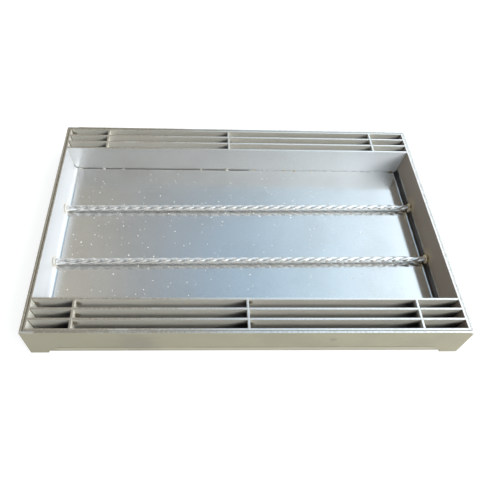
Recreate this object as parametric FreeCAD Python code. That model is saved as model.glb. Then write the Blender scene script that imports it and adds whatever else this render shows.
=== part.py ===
import FreeCAD, Part
import math
import os

# Drain grate: a recessed infill cover with a slotted grate along each long side, set in a folded frame.
# Millimetres. X runs along the length, Y from the front to the back, and Z = 0 is where the feet stand.

# Frame, four rails of folded sheet
FRAME_LENGTH = 600.0
FRAME_WIDTH = 400.0
FRAME_SHEET = 3.0
FRAME_BEND_RADIUS = 1.0  # inside of the fold
LEDGE_WIDTH = 25.0  # from the outer face inwards
FOOT_WIDTH = 25.0  # flat corner foot, along the long rail
FOOT_DROP = 3.0  # from the underside of the ledge down
FOLD_RELIEF = 1.5  # slit between the end of a long ledge and what stands beside it

# Cover, a folded tray between two grates
COVER_GAP = 1.0  # all round, between cover and frame
COVER_HEIGHT = 54.0  # from the ledge up to the rim
TRAY_LIFT = 4.0  # from the ledge up to the tray, which hangs between the deep bars that stand there
TRAY_SHEET = 3.0
TRAY_BEND_RADIUS = 8.0  # inside of the fold
WALL_LEAN = 6.0  # degrees that the end walls lean out
FLOOR_EDGE_GAP = 1.0  # between the floor's long edges and the tray bars

# Grates of flat bars
BAR_THICKNESS = 3.0
SLOT_WIDTH = 12.5
SLOTS_PER_GRATE = 3
BAR_DEPTH = 40.0
CROSS_THICKNESS = 3.0
LAP_CLEARANCE = 0.1  # each side of a half lap
FRONT_CROSS_LEFT = 56.5  # from the left end wall to the middle of the cross bar
FRONT_CROSS_CENTRE = -2.0  # from the middle of the cover
FRONT_CROSS_RIGHT = 60.0  # from the right end wall
BACK_CROSS_LEFT = 66.0
BACK_CROSS_CENTRE = -18.0
BACK_CROSS_RIGHT = 59.0

# Twisted square bars that grip the infill
TWIST_SIDE = 8.0
TWIST_CORNER = 0.7  # flat along the corners
TWIST_LEAD = 71.0  # length of one full turn
TWIST_SPACING = 107.0  # between the two bars
TWIST_OFFSET = -3.0  # from the middle of the tray to midway between the bars
TWIST_SKEW = 8.0  # how much nearer to the front the bars' left ends lie than their right ends
TWIST_FLOOR_GAP = 1.4  # under the corners
TWIST_END_CLEARANCE = 0.2  # from a bar's end to the tray's fold
STEPS_PER_TURN = 16  # sections that the facets run between

# Welds
END_WELD_STEP = 1.0  # how far the end weld stands out from the bar's corners
END_WELD_FLARE = 1.4  # and how much further where it meets the wall
TACK_RADIUS = 1.8
TACK_LENGTH = 5.0
TACK_PLACES = (55.0, 89.0, 227.0, 273.0, 321.0, 376.0, 395.0, 426.0)  # along the floor's edge, from an end

# Heights
LEDGE_BOTTOM = FOOT_DROP
LEDGE_TOP = LEDGE_BOTTOM + FRAME_SHEET
RIM = LEDGE_TOP + COVER_HEIGHT
FRAME_BEND = LEDGE_TOP + FRAME_BEND_RADIUS  # upper end of the frame's fold
TRAY_BOTTOM = LEDGE_TOP + TRAY_LIFT
FLOOR_TOP = TRAY_BOTTOM + TRAY_SHEET
TRAY_BEND = FLOOR_TOP + TRAY_BEND_RADIUS  # upper end of the tray's fold
BAR_BOTTOM = RIM - BAR_DEPTH
LAP = (BAR_BOTTOM + RIM) / 2  # where a cross bar sits on a middle bar

# Half sizes in plan
FRAME_X = FRAME_LENGTH / 2
FRAME_Y = FRAME_WIDTH / 2
COVER_X = FRAME_X - FRAME_SHEET - COVER_GAP
COVER_Y = FRAME_Y - FRAME_SHEET - COVER_GAP
LEAN = math.radians(WALL_LEAN)
WALL_X = COVER_X - TRAY_SHEET / math.cos(LEAN)  # inner faces of the end walls at the rim
FOLD_TOP = TRAY_BEND - TRAY_BEND_RADIUS * math.sin(LEAN)  # where an end wall leaves the inside of its fold
WALL_RUN = (RIM - FOLD_TOP) * math.tan(LEAN)  # how far an end wall leans out above its fold
FLOOR_X = WALL_X - WALL_RUN - TRAY_BEND_RADIUS * math.cos(LEAN)  # ends of the flat floor
BAR_PITCH = BAR_THICKNESS + SLOT_WIDTH
OUTER_BAR_Y = COVER_Y - BAR_THICKNESS / 2  # middle of the outermost bar
TRAY_BAR_Y = OUTER_BAR_Y - SLOTS_PER_GRATE * BAR_PITCH  # middle of the bar beside the tray
FLOOR_Y = TRAY_BAR_Y - BAR_THICKNESS / 2 - FLOOR_EDGE_GAP

# Twisted bars, which stop where the tray's fold comes up to their lowest corner
TWIST_RADIUS = math.hypot(TWIST_SIDE / 2, TWIST_SIDE / 2 - TWIST_CORNER)
TWIST_Z = FLOOR_TOP + TWIST_FLOOR_GAP + TWIST_RADIUS
FOLD_DROP = max(TRAY_BEND_RADIUS - TWIST_FLOOR_GAP, 0.0)  # from the fold's centre down to that corner
TWIST_END = FLOOR_X + math.sqrt(TRAY_BEND_RADIUS**2 - FOLD_DROP**2) - TWIST_END_CLEARANCE

FRONT = -1
BACK = 1
LEFT = -1
RIGHT = 1
HALF_TURN_POINT = math.sqrt(0.5)  # middle of a quarter arc, as a share of its radius


def vec(x, y, z):
    return FreeCAD.Vector(x, y, z)


def line(start, end):
    return Part.makeLine(start, end)


def arc(start, middle, end):
    return Part.Arc(start, middle, end).toShape()


def block(x_range, y_range, z_range):
    """A box between two values on each axis, given in either order."""
    low = vec(min(x_range), min(y_range), min(z_range))
    size = [abs(end - start) for start, end in (x_range, y_range, z_range)]
    return Part.makeBox(*size, low)


def turned(shape, degrees):
    """A copy of a shape, turned about the vertical axis."""
    copy = shape.copy()
    copy.rotate(vec(0, 0, 0), vec(0, 0, 1), degrees)
    return copy


def fused(first, others):
    """One solid from pieces that share faces, without the seams between them."""
    return first.fuse(others).removeSplitter()


def rail_section(reach):
    """The frame's folded L in the YZ plane: outer face at a reach towards -Y, ledge inside."""
    outer_radius = FRAME_BEND_RADIUS + FRAME_SHEET
    outer_y = -reach
    inner_y = outer_y + FRAME_SHEET
    bend_y = outer_y + outer_radius
    lip_y = outer_y + LEDGE_WIDTH

    def point(y, z):
        return vec(0, y, z)

    def on_bend(radius):
        return point(bend_y - radius * HALF_TURN_POINT, FRAME_BEND - radius * HALF_TURN_POINT)

    outline = [
        line(point(outer_y, RIM), point(outer_y, FRAME_BEND)),
        arc(point(outer_y, FRAME_BEND), on_bend(outer_radius), point(bend_y, LEDGE_BOTTOM)),
        line(point(bend_y, LEDGE_BOTTOM), point(lip_y, LEDGE_BOTTOM)),
        line(point(lip_y, LEDGE_BOTTOM), point(lip_y, LEDGE_TOP)),
        line(point(lip_y, LEDGE_TOP), point(bend_y, LEDGE_TOP)),
        arc(point(bend_y, LEDGE_TOP), on_bend(FRAME_BEND_RADIUS), point(inner_y, FRAME_BEND)),
        line(point(inner_y, FRAME_BEND), point(inner_y, RIM)),
        line(point(inner_y, RIM), point(outer_y, RIM)),
    ]
    return Part.Face(Part.Wire(outline))


def folded_rail(reach, half_length):
    """A length of the frame's L along X, with its outer face towards -Y."""
    section = rail_section(reach)
    section.translate(vec(-half_length, 0, 0))
    return section.extrude(vec(2 * half_length, 0, 0))


def long_rail():
    """The front rail: its ledge stops short of the ends, where the upright runs down as two flat feet."""
    upright_y = (-FRAME_Y, -FRAME_Y + FRAME_SHEET)
    upright = block((-FRAME_X, FRAME_X), upright_y, (FRAME_BEND, RIM))
    ledge = folded_rail(FRAME_Y, FRAME_X - max(FOOT_WIDTH, LEDGE_WIDTH) - FOLD_RELIEF)
    feet = [
        block((side * FRAME_X, side * (FRAME_X - FOOT_WIDTH)), upright_y, (0, FRAME_BEND))
        for side in (LEFT, RIGHT)
    ]
    return fused(upright, [ledge] + feet)


def short_rail():
    """A side rail, between the uprights of the two long rails, with its outer face towards -Y."""
    return folded_rail(FRAME_X, FRAME_Y - FRAME_SHEET)


def tray_section():
    """The floor, the two folds and the two end walls of the tray in the XZ plane."""

    def point(x, z):
        return vec(x, 0, z)

    def on_fold(side, radius, share):
        turn = share * (math.pi / 2 - LEAN)
        return point(side * (FLOOR_X + radius * math.sin(turn)), TRAY_BEND - radius * math.cos(turn))

    def fold_and_wall(side, radius, rim_x):
        start, middle, end = (on_fold(side, radius, share) for share in (0, 0.5, 1))
        return [arc(start, middle, end), line(end, point(side * rim_x, RIM))]

    outline = [
        line(point(-FLOOR_X, TRAY_BOTTOM), point(FLOOR_X, TRAY_BOTTOM)),
        line(point(-FLOOR_X, FLOOR_TOP), point(FLOOR_X, FLOOR_TOP)),
    ]
    for side in (LEFT, RIGHT):
        outline += fold_and_wall(side, TRAY_BEND_RADIUS + TRAY_SHEET, COVER_X)
        outline += fold_and_wall(side, TRAY_BEND_RADIUS, WALL_X)
        outline.append(line(point(side * WALL_X, RIM), point(side * COVER_X, RIM)))
    return Part.Face(Part.Wire(Part.__sortEdges__(outline)))


def wall_x(z):
    """Distance from the middle of the cover to the inner face of a leaning end wall, at a height."""
    return WALL_X - (RIM - z) * math.tan(LEAN)


def plate(outline, y_range):
    """A flat piece with an outline of corners in the XZ plane, between two values of Y."""
    near, far = sorted(y_range)
    corners = [vec(x, near, z) for x, z in outline]
    return Part.Face(Part.makePolygon(corners + corners[:1])).extrude(vec(0, far - near, 0))


def flap(end, side):
    """The flat part of an end wall beyond the floor, where a grate runs up to it."""
    wall = COVER_X - WALL_X
    foot = wall_x(TRAY_BEND)
    outline = [(foot, TRAY_BEND), (WALL_X, RIM), (COVER_X, RIM), (foot + wall, TRAY_BEND)]
    return plate([(end * x, z) for x, z in outline], (side * FLOOR_Y, side * COVER_Y))


def tray_sheet():
    """One folded sheet: floor and end walls, with flat flaps that carry the walls on past the grates."""
    section = tray_section()
    section.translate(vec(0, -FLOOR_Y, 0))
    folded = section.extrude(vec(0, 2 * FLOOR_Y, 0))
    return fused(folded, [flap(end, side) for end in (LEFT, RIGHT) for side in (FRONT, BACK)])


def span(middle, width):
    """The two sides of something of a given width."""
    return (middle - width / 2, middle + width / 2)


def middle_places():
    """Distances from the middle of the cover to the bars between the outer bar and the tray bar."""
    return [OUTER_BAR_Y - n * BAR_PITCH for n in range(1, SLOTS_PER_GRATE)]


def cross_places(side):
    """Places along X of a grate's three cross bars, by name."""
    insets = {
        FRONT: (FRONT_CROSS_LEFT, FRONT_CROSS_CENTRE, FRONT_CROSS_RIGHT),
        BACK: (BACK_CROSS_LEFT, BACK_CROSS_CENTRE, BACK_CROSS_RIGHT),
    }
    left, centre, right = insets[side]
    return {"left": left - WALL_X, "centre": centre, "right": WALL_X - right}


def flat_bar(y_middle, bottom):
    """A flat bar that runs between the leaning end walls, from a height up to the rim."""
    foot = wall_x(bottom)
    outline = [(-foot, bottom), (foot, bottom), (WALL_X, RIM), (-WALL_X, RIM)]
    return plate(outline, span(y_middle, BAR_THICKNESS))


def tray_bar(side):
    """The deep bar beside the tray, which stands on the ledge."""
    return flat_bar(side * TRAY_BAR_Y, LEDGE_TOP)


def grate_bar(y_middle):
    """A bar of a grate, which stops above the ledge."""
    return flat_bar(y_middle, BAR_BOTTOM)


def middle_bar(side, distance):
    """A flat bar, slotted from above where the cross bars drop in."""
    y_span = span(side * distance, BAR_THICKNESS)
    slot_width = CROSS_THICKNESS + 2 * LAP_CLEARANCE
    slots = [block(span(x, slot_width), y_span, (LAP, RIM)) for x in cross_places(side).values()]
    return grate_bar(side * distance).cut(slots)


def cross_bar(side, x_middle):
    """A cross bar from the tray bar to the outer bar, slotted from below over each middle bar."""
    x_span = span(x_middle, CROSS_THICKNESS)
    near = TRAY_BAR_Y + BAR_THICKNESS / 2
    far = OUTER_BAR_Y - BAR_THICKNESS / 2
    slot_width = BAR_THICKNESS + 2 * LAP_CLEARANCE
    slots = [block(x_span, span(side * y, slot_width), (BAR_BOTTOM, LAP)) for y in middle_places()]
    return block(x_span, (side * near, side * far), (BAR_BOTTOM, RIM)).cut(slots)


def twist_axis(side, x):
    """The point of a twisted bar's axis at x; the bars are welded in a little askew."""
    return vec(x, TWIST_OFFSET + side * TWIST_SPACING / 2 + TWIST_SKEW * x / (2 * TWIST_END), TWIST_Z)


def twist_ring(side, x):
    """Points round a twisted bar's section at x: the ends and the middle of each of its four flats."""
    half = TWIST_SIDE / 2
    axis = twist_axis(side, x)
    turn = -2 * math.pi * x / TWIST_LEAD
    ring = []
    for quarter in range(4):
        for across in (TWIST_CORNER - half, 0, half - TWIST_CORNER):
            angle = turn + math.atan2(half, across) - quarter * math.pi / 2
            radius = math.hypot(half, across)
            ring.append(axis + vec(0, radius * math.cos(angle), radius * math.sin(angle)))
    return ring


def twisted_bar(side):
    """A square bar twisted left-handed about its axis, in flat facets between its turned sections."""
    steps = math.ceil(2 * TWIST_END / TWIST_LEAD * STEPS_PER_TURN)
    rings = [twist_ring(side, TWIST_END * (2 * step / steps - 1)) for step in range(steps + 1)]
    points = [point for ring in rings for point in ring]
    ring_size = len(rings[0])
    left_centre = len(points)
    right_centre = left_centre + 1
    points += [twist_axis(side, -TWIST_END), twist_axis(side, TWIST_END)]
    facets = []
    for place in range(ring_size):
        following = (place + 1) % ring_size
        for step in range(steps):
            near = step * ring_size
            far = near + ring_size
            facets.append((near + place, far + place, near + following))
            facets.append((far + place, far + following, near + following))
        facets.append((left_centre, place, following))
        facets.append((right_centre, steps * ring_size + following, steps * ring_size + place))
    shell = Part.Shape()
    shell.makeShapeFromMesh((points, facets), TWIST_CORNER / 100)
    return Part.Solid(shell.Shells[0])


def end_weld(end, side, tray):
    """The bead between a twisted bar's end and the end wall, shaped by the fold that it runs into."""
    bar_end = twist_axis(side, end * TWIST_END)
    at_bar = TWIST_RADIUS + END_WELD_STEP
    at_wall = at_bar + END_WELD_FLARE
    length = wall_x(TWIST_Z + at_wall) - TWIST_END
    bead = Part.makeCone(at_bar, at_wall, length, bar_end, vec(end, 0, 0))
    return max(bead.cut(tray).Solids, key=lambda solid: solid.Volume)


def tack(x_middle, side, tray, bar):
    """A tack weld along the corner between the floor's edge and a tray bar."""
    seam_y = side * (FLOOR_Y + FLOOR_EDGE_GAP / 2)
    start = vec(x_middle - TACK_LENGTH / 2, seam_y, FLOOR_TOP)
    bead = Part.makeCylinder(TACK_RADIUS, TACK_LENGTH, start, vec(1, 0, 0))
    return bead.cut([tray, bar])


def floor_tacks(side, tray):
    """The tacks on one edge of the floor, from the left end at the back and the right at the front."""
    bar = tray_bar(side)
    return [tack(side * (place - WALL_X), side, tray, bar) for place in TACK_PLACES]


def frame_nodes():
    front = long_rail()
    side = short_rail()
    return {
        "frame_front_rail": front,
        "frame_back_rail": turned(front, 180),
        "frame_left_rail": turned(side, -90),
        "frame_right_rail": turned(side, 90),
    }


def tray_nodes():
    tray = tray_sheet()
    end_welds = [end_weld(end, side, tray) for side in (FRONT, BACK) for end in (LEFT, RIGHT)]
    return {
        "tray_sheet": tray,
        "twisted_bar_front": twisted_bar(FRONT),
        "twisted_bar_back": twisted_bar(BACK),
        "twisted_bar_welds": Part.Compound(end_welds),
        "floor_tack_welds": Part.Compound(floor_tacks(FRONT, tray) + floor_tacks(BACK, tray)),
    }


def grate_nodes(name, side):
    nodes = {
        f"tray_{name}_bar": tray_bar(side),
        f"{name}_outer_bar": grate_bar(side * OUTER_BAR_Y),
    }
    for number, distance in enumerate(middle_places(), start=1):
        nodes[f"{name}_middle_bar_{number}"] = middle_bar(side, distance)
    for place, x in cross_places(side).items():
        nodes[f"{name}_cross_bar_{place}"] = cross_bar(side, x)
    return nodes


def main():
    os.makedirs("parts", exist_ok=True)
    nodes = {**frame_nodes(), **tray_nodes(), **grate_nodes("front", FRONT), **grate_nodes("back", BACK)}
    for name, shape in nodes.items():
        shape.exportStep(f"parts/{name}.step")
        print(f"{name}: {len(shape.Solids)} solid(s), {shape.Volume / 1000:.1f} cm3, valid {shape.isValid()}")


main()
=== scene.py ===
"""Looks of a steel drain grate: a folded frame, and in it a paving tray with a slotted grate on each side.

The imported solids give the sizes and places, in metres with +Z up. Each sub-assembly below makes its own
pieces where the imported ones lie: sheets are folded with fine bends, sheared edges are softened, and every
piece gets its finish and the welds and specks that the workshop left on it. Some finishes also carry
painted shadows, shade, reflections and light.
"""

from __future__ import annotations

import logging
import math
from dataclasses import dataclass, field
from enum import Enum
from typing import Any, Iterable, Mapping, Optional, Sequence, Union

import bmesh
import bpy
from mathutils import Matrix, Vector


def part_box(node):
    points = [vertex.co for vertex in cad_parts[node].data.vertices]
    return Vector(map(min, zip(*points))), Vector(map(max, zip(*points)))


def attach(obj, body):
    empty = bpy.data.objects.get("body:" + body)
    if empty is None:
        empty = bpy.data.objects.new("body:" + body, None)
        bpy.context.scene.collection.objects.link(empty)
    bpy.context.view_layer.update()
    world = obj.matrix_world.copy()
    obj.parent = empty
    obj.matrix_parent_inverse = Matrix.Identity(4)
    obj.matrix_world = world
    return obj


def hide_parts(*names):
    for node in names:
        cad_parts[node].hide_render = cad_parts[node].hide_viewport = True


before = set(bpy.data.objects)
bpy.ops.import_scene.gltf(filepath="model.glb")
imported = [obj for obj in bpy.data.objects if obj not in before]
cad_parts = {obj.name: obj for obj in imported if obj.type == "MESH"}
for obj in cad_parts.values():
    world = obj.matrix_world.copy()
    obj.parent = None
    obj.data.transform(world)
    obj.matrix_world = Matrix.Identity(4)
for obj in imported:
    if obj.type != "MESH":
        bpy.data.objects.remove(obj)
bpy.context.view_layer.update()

LOG = logging.getLogger("drain_grate")
BODY = "root"
IMAGE_SIDE = 480.0
FULL_TURN = 2.0 * math.pi
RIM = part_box("frame_front_rail")[1].z

# The tacks in each grate: the cell from the left, the bar from the frame inwards, and the height.
FRONT_TACKS = ((0, 2, 0.048), (1, 2, 0.049), (2, 2, 0.052), (1, 1, 0.044), (1, 0, 0.051), (2, 0, 0.048))
BACK_TACKS = ((0, 0, 0.051), (2, 1, 0.046))

# A grain is the size of a mottling along X, Y and Z. A step is where a ramp is still 0 and where it has
# reached 1, or the two values that a mask is stretched between.
Colour = tuple[float, float, float, float]
ColourStops = tuple[tuple[float, Colour], ...]
Place = tuple[float, float, float]
Grain = tuple[float, float, float]
Step = tuple[float, float]
Operand = Union["Signal", float]
SocketKey = Union[str, int]

# Pale ground steel, also laid as painted light over a shaded gap.
GROUND_AND_PAINTED_LIGHT: Colour = (0.90, 0.90, 0.89, 1.0)
BURNT_BROWN: Colour = (0.13, 0.105, 0.05, 1.0)
# Near black, painted as shadow and shade in the slots of the grates.
SLOT_SHADE: Colour = (0.03, 0.029, 0.032, 1.0)


class Slot(Enum):
    """The record's material slots."""

    SHEET = "sheet_steel"
    BAR = "bar_steel"
    TWIST = "twisted_steel"
    WELD = "weld_metal"


class Side(Enum):
    """The two grates, by the way they lie from the middle of the tray along Y."""

    FRONT = -1
    BACK = 1

    @property
    def word(self) -> str:
        """The side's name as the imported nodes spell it."""
        return self.name.lower()


class Signal:
    """A node socket that takes part in arithmetic: each operator adds one Math node to its tree."""

    def __init__(self, tree: Tree, socket: bpy.types.NodeSocket) -> None:
        """Keeps the socket and the tree that it belongs to."""
        self.tree = tree
        self.socket = socket

    def __add__(self, other: Operand) -> Signal:
        """Sum."""
        return self.tree.math("ADD", self, other)

    def __radd__(self, other: Operand) -> Signal:
        """Sum with a number on the left."""
        return self.tree.math("ADD", other, self)

    def __sub__(self, other: Operand) -> Signal:
        """Difference."""
        return self.tree.math("SUBTRACT", self, other)

    def __rsub__(self, other: Operand) -> Signal:
        """Difference with a number on the left."""
        return self.tree.math("SUBTRACT", other, self)

    def __mul__(self, other: Operand) -> Signal:
        """Product."""
        return self.tree.math("MULTIPLY", self, other)

    def __rmul__(self, other: Operand) -> Signal:
        """Product with a number on the left."""
        return self.tree.math("MULTIPLY", other, self)

    def __truediv__(self, other: Operand) -> Signal:
        """Quotient."""
        return self.tree.math("DIVIDE", self, other)

    def __rtruediv__(self, other: Operand) -> Signal:
        """Quotient with a number on the left."""
        return self.tree.math("DIVIDE", other, self)

    def __pow__(self, other: Operand) -> Signal:
        """Power."""
        return self.tree.math("POWER", self, other)

    def __abs__(self) -> Signal:
        """Size without its sign."""
        return self.tree.math("ABSOLUTE", self)

    def root(self) -> Signal:
        """Square root."""
        return self.tree.math("SQRT", self)

    def sine(self) -> Signal:
        """Sine of an angle in radians."""
        return self.tree.math("SINE", self)

    def most(self, other: Operand) -> Signal:
        """The larger of two values."""
        return self.tree.math("MAXIMUM", self, other)

    def between(self, low: float, high: float) -> Signal:
        """A value from 0 to 1, stretched so that it runs from low to high."""
        return low + (high - low) * self

    def ramp(self, start: float, end: float) -> Signal:
        """A smooth step.

        Args:
            start: Where the step is still 0.
            end: Where it has reached 1, which may lie below start.

        Returns:
            The step, between 0 and 1.
        """
        return self.tree.signal(
            "ShaderNodeMapRange",
            {"interpolation_type": "SMOOTHSTEP"},
            {"Value": self, "From Min": start, "From Max": end},
        )


class Tree:
    """A node tree that is filled by plain expressions."""

    def __init__(self, nodes: bpy.types.NodeTree) -> None:
        """Keeps the tree that the nodes go into."""
        self.nodes = nodes

    def node(
        self,
        kind: str,
        settings: Optional[Mapping[str, Any]] = None,
        inputs: Optional[Mapping[SocketKey, Any]] = None,
    ) -> bpy.types.Node:
        """Adds one node.

        Args:
            kind: Blender's name for the node's type.
            settings: The node's own properties, set first; "stops" fills a colour ramp.
            inputs: Values or signals for its sockets, by name or by number.

        Returns:
            The new node.
        """
        made = self.nodes.nodes.new(kind)
        for name, value in (settings or {}).items():
            if name == "stops":
                self.fill_ramp(made.color_ramp, value)
            else:
                setattr(made, name, value)
        for key, value in (inputs or {}).items():
            if isinstance(value, Signal):
                self.nodes.links.new(value.socket, made.inputs[key])
            else:
                made.inputs[key].default_value = value
        return made

    @staticmethod
    def fill_ramp(ramp: bpy.types.ColorRamp, stops: ColourStops) -> None:
        """Gives a colour ramp its stops.

        Args:
            ramp: The ramp, with its two first elements.
            stops: Place and colour of each stop, in rising order.
        """
        while len(ramp.elements) < len(stops):
            ramp.elements.new(1.0)
        for element, (place, colour) in zip(ramp.elements, stops):
            element.position = place
            element.color = colour

    def signal(
        self,
        kind: str,
        settings: Optional[Mapping[str, Any]] = None,
        inputs: Optional[Mapping[SocketKey, Any]] = None,
        output: SocketKey = 0,
    ) -> Signal:
        """Adds one node and gives one of its outputs.

        Args:
            kind: Blender's name for the node's type.
            settings: The node's own properties.
            inputs: Values or signals for its sockets.
            output: Which output is wanted.

        Returns:
            That output, ready for arithmetic.
        """
        return Signal(self, self.node(kind, settings, inputs).outputs[output])

    def math(self, operation: str, *operands: Operand) -> Signal:
        """Adds one Math node."""
        return self.signal("ShaderNodeMath", {"operation": operation}, dict(enumerate(operands)))

    def parts(self, vector: Signal) -> tuple[Signal, Signal, Signal]:
        """Splits a vector into its three numbers."""
        split = self.node("ShaderNodeSeparateXYZ", inputs={"Vector": vector})
        return tuple(Signal(self, socket) for socket in split.outputs)

    def blend(self, share: Operand, under: Any, over: Any) -> Signal:
        """Mixes two colours.

        Args:
            share: How much of the upper colour shows, from 0 to 1.
            under: The lower colour.
            over: The upper colour.

        Returns:
            The mixed colour.
        """
        return self.signal("ShaderNodeMix", {"data_type": "RGBA"}, {0: share, 6: under, 7: over}, 2)

    def noise(self, point: Signal, grain: Sequence[float], detail: float = 2.0) -> Signal:
        """Soft random mottling between 0 and 1, stretched by a different size of grain along each axis.

        Args:
            point: Where it is read, in metres.
            grain: Size of its grain along X, Y and Z, in metres.
            detail: How many finer layers are added.

        Returns:
            The mottling.
        """
        stretched = self.signal(
            "ShaderNodeVectorMath",
            {"operation": "MULTIPLY"},
            {0: point, 1: tuple(1.0 / size for size in grain)},
        )
        return self.signal(
            "ShaderNodeTexNoise", inputs={"Vector": stretched, "Scale": 1.0, "Detail": detail}
        )


@dataclass
class Spot:
    """Where a shaded point lies on the part, in metres, and how far it faces up."""

    point: Signal
    x: Signal
    y: Signal
    z: Signal
    upward: Signal

    @classmethod
    def of(cls, tree: Tree) -> Spot:
        """Reads the point that a tree shades.

        Args:
            tree: A material's tree.

        Returns:
            The point's place and the upward part of its normal.
        """
        point = tree.signal("ShaderNodeTexCoord", output="Object")
        normal = tree.signal("ShaderNodeNewGeometry", output="True Normal")
        return cls(point, *tree.parts(point), tree.parts(normal)[2])

    def distance(self, place: Vector) -> Signal:
        """How far the point lies from a place, both in metres."""
        square = (self.x - place.x) ** 2 + (self.y - place.y) ** 2 + (self.z - place.z) ** 2
        return square.root()


@dataclass(frozen=True)
class Coat:
    """What lies over the metal, or light and shade painted on it: its colour, how much of it shows and,
    where given, its own gloss.
    """

    colour: Colour
    share: float = 1.0
    roughness: Optional[float] = None
    metallic: Optional[float] = None


@dataclass
class Layer:
    """What a finish feeds its shader, built up from the bare metal outwards."""

    tree: Tree
    colour: Any
    roughness: Operand
    metallic: Operand
    height: Operand = 0.0

    def cover(self, mask: Signal, coat: Coat) -> None:
        """Lays a coat over part of the surface.

        Args:
            mask: 1 where the coat is whole and 0 where there is none.
            coat: The coat.
        """
        mask = mask * coat.share
        self.colour = self.tree.blend(mask, self.colour, coat.colour)
        if coat.roughness is not None:
            self.roughness = self.roughness + mask * (coat.roughness - self.roughness)
        if coat.metallic is not None:
            self.metallic = self.metallic + mask * (coat.metallic - self.metallic)

    def shader(self) -> Signal:
        """Feeds the layers to one metal shader.

        Returns:
            The shader.
        """
        bump = self.tree.signal("ShaderNodeBump", inputs={"Distance": 1.0, "Height": self.height})
        return self.tree.signal(
            "ShaderNodeBsdfPrincipled",
            inputs={
                "Base Color": self.colour,
                "Roughness": self.roughness,
                "Metallic": self.metallic,
                "Normal": bump,
            },
        )


@dataclass(frozen=True)
class Finish:
    """A surface finish, kept as one material."""

    name: str

    def material(self) -> bpy.types.Material:
        """Makes the material, or finds it if it is already made.

        Returns:
            The finish's material.
        """
        found = bpy.data.materials.get(self.name)
        if found:
            return found
        made = bpy.data.materials.new(self.name)
        made.use_nodes = True
        made.node_tree.nodes.clear()
        tree = Tree(made.node_tree)
        tree.node("ShaderNodeOutputMaterial", inputs={"Surface": self.surface(tree)})
        return made

    def surface(self, tree: Tree) -> Signal:
        """The shader that shows; each kind of finish has its own."""
        raise NotImplementedError


@dataclass(frozen=True)
class Steel(Finish):
    """Bare stainless steel with rolling grain, hand smudges and a rim that is ground, brown to the left."""

    base: Colour = (0.81, 0.81, 0.80, 1.0)
    metallic: float = 0.95
    roughness: float = 0.22
    grain: Grain = (0.05, 0.0011, 0.0011)
    grain_depth: float = 0.000004
    grain_haze: float = 0.05
    smudge: Coat = Coat((0.76, 0.755, 0.74, 1.0), roughness=0.24)
    smudge_size: float = 0.075
    smudge_noise: Step = (0.42, 0.72)
    fleck_share: float = 0.30
    fleck_shade: float = 0.78
    fleck_size: float = 0.0021
    fleck_noise: Step = (0.36, 0.72)
    ground: Coat = Coat(GROUND_AND_PAINTED_LIGHT, roughness=0.28, metallic=0.9)
    ground_depth: float = 0.0011
    ground_facing: Step = (0.2, 0.5)
    scour_size: float = 0.0035
    scour_noise: Step = (0.35, 0.62)
    scour_least: float = 0.65
    brown: Coat = Coat((0.46, 0.40, 0.31, 1.0), roughness=0.42)
    brown_grain: Grain = (0.045, 0.012, 0.012)
    brown_noise: Step = (0.24, 0.50)
    brown_patchy: Step = (0.04, -0.18)
    brown_whole: Step = (-0.13, -0.24)

    def surface(self, tree: Tree) -> Signal:
        """Lays the finish on the metal, layer by layer.

        Args:
            tree: The material's tree.

        Returns:
            The shader.
        """
        spot = Spot.of(tree)
        layer = self.bare(tree, spot)
        self.mark(layer, spot)
        return layer.shader()

    def bare(self, tree: Tree, spot: Spot) -> Layer:
        """The metal as it comes from the mill, with the smudges of handling.

        Args:
            tree: The material's tree.
            spot: The point that is shaded.

        Returns:
            The first layers.
        """
        grain = tree.noise(spot.point, self.grain, detail=3.0)
        haze = (grain - 0.5) * self.grain_haze
        layer = Layer(tree, self.base, self.roughness + haze, self.metallic)
        layer.height = grain * self.grain_depth
        cloud = tree.noise(spot.point, (self.smudge_size,) * 3, detail=4.0).ramp(*self.smudge_noise)
        layer.cover(cloud, self.smudge)
        fleck = tree.noise(spot.point, (self.fleck_size,) * 3, detail=3.0).ramp(*self.fleck_noise)
        layer.cover(fleck, Coat(shaded(self.base, self.fleck_shade), self.fleck_share))
        return layer

    def top(self, spot: Spot) -> Signal:
        """1 on the ground top edges at the rim, and 0 elsewhere."""
        rim = spot.z.ramp(RIM - self.ground_depth, RIM - 0.5 * self.ground_depth)
        return rim * spot.upward.ramp(*self.ground_facing)

    def mark(self, layer: Layer, spot: Spot) -> None:
        """Adds the marks of the workshop: here, the ground rim.

        Args:
            layer: The layers so far.
            spot: The point that is shaded.
        """
        tree = layer.tree
        top = self.top(spot)
        scour = tree.noise(spot.point, (self.scour_size,) * 3, detail=5.0).ramp(*self.scour_noise)
        patches = tree.noise(spot.point, self.brown_grain, detail=4.0).ramp(*self.brown_noise)
        brown = (patches * spot.x.ramp(*self.brown_patchy)).most(spot.x.ramp(*self.brown_whole))
        layer.cover(top * scour.between(self.scour_least, 1.0), self.ground)
        layer.cover(top * brown * scour.between(1.0, self.scour_least), self.brown)


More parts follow.
